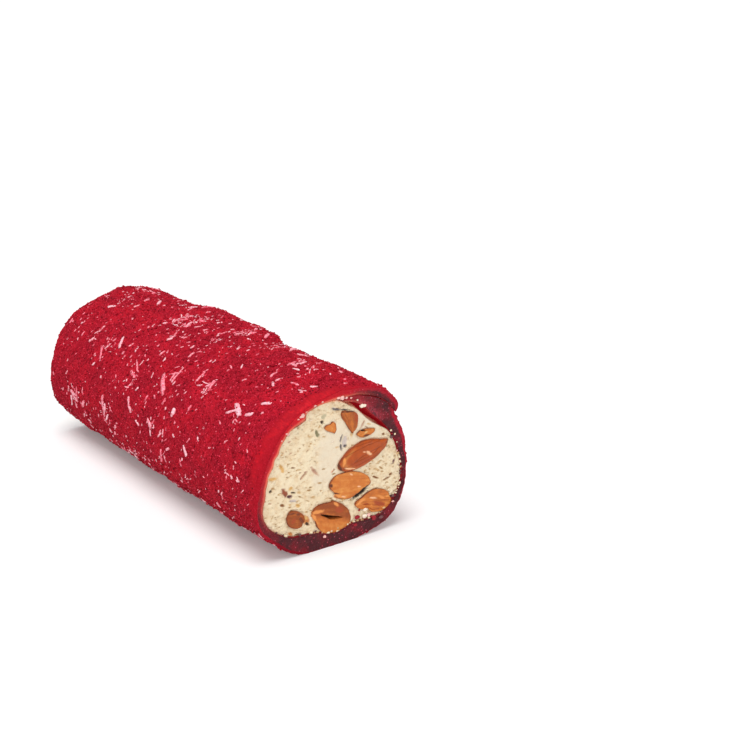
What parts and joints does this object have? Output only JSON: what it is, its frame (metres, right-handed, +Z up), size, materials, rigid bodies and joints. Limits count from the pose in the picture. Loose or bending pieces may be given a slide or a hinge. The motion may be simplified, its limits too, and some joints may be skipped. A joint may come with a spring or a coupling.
{
  "type": "rolled turkish delight",
  "caption": "Cut length of rolled turkish delight: a red lokum sheet coated in powder and coconut shreds, round a pale nougat log studded with almonds.",
  "frame": {"origin": "centre of the box's underside, on the surface that the roll lies on", "axes": "+X along the roll towards the cut that the picture shows, +Y to the right seen from that cut, +Z up"},
  "size_m": [0.111, 0.0457, 0.0412],
  "materials": {
    "coat": "velvety red powder over a chewy sheet, with pale pink coconut shreds",
    "nougat": "matt, porous cream",
    "almond_skin": "satin brown skin",
    "almond_flesh": "satin golden brown, cut flush with the knife"
  },
  "bodies": {
    "root": {"wrap": "coat", "nougat": "nougat", "near_almond_whole": "almond_skin", "near_almond_pale": "almond_flesh", "near_almond_slit": "almond_flesh", "near_almond_broken": "almond_flesh", "near_almond_small": "almond_flesh", "near_almond_wedge": "almond_flesh", "near_almond_chip": "almond_flesh", "near_almond_sliver": "almond_flesh", "far_almond_whole": "almond_skin", "far_almond_slit": "almond_flesh", "far_almond_pale": "almond_flesh", "far_almond_wedge": "almond_flesh", "far_almond_small": "almond_flesh", "far_almond_broken": "almond_flesh"}
  },
  "joints": []
}
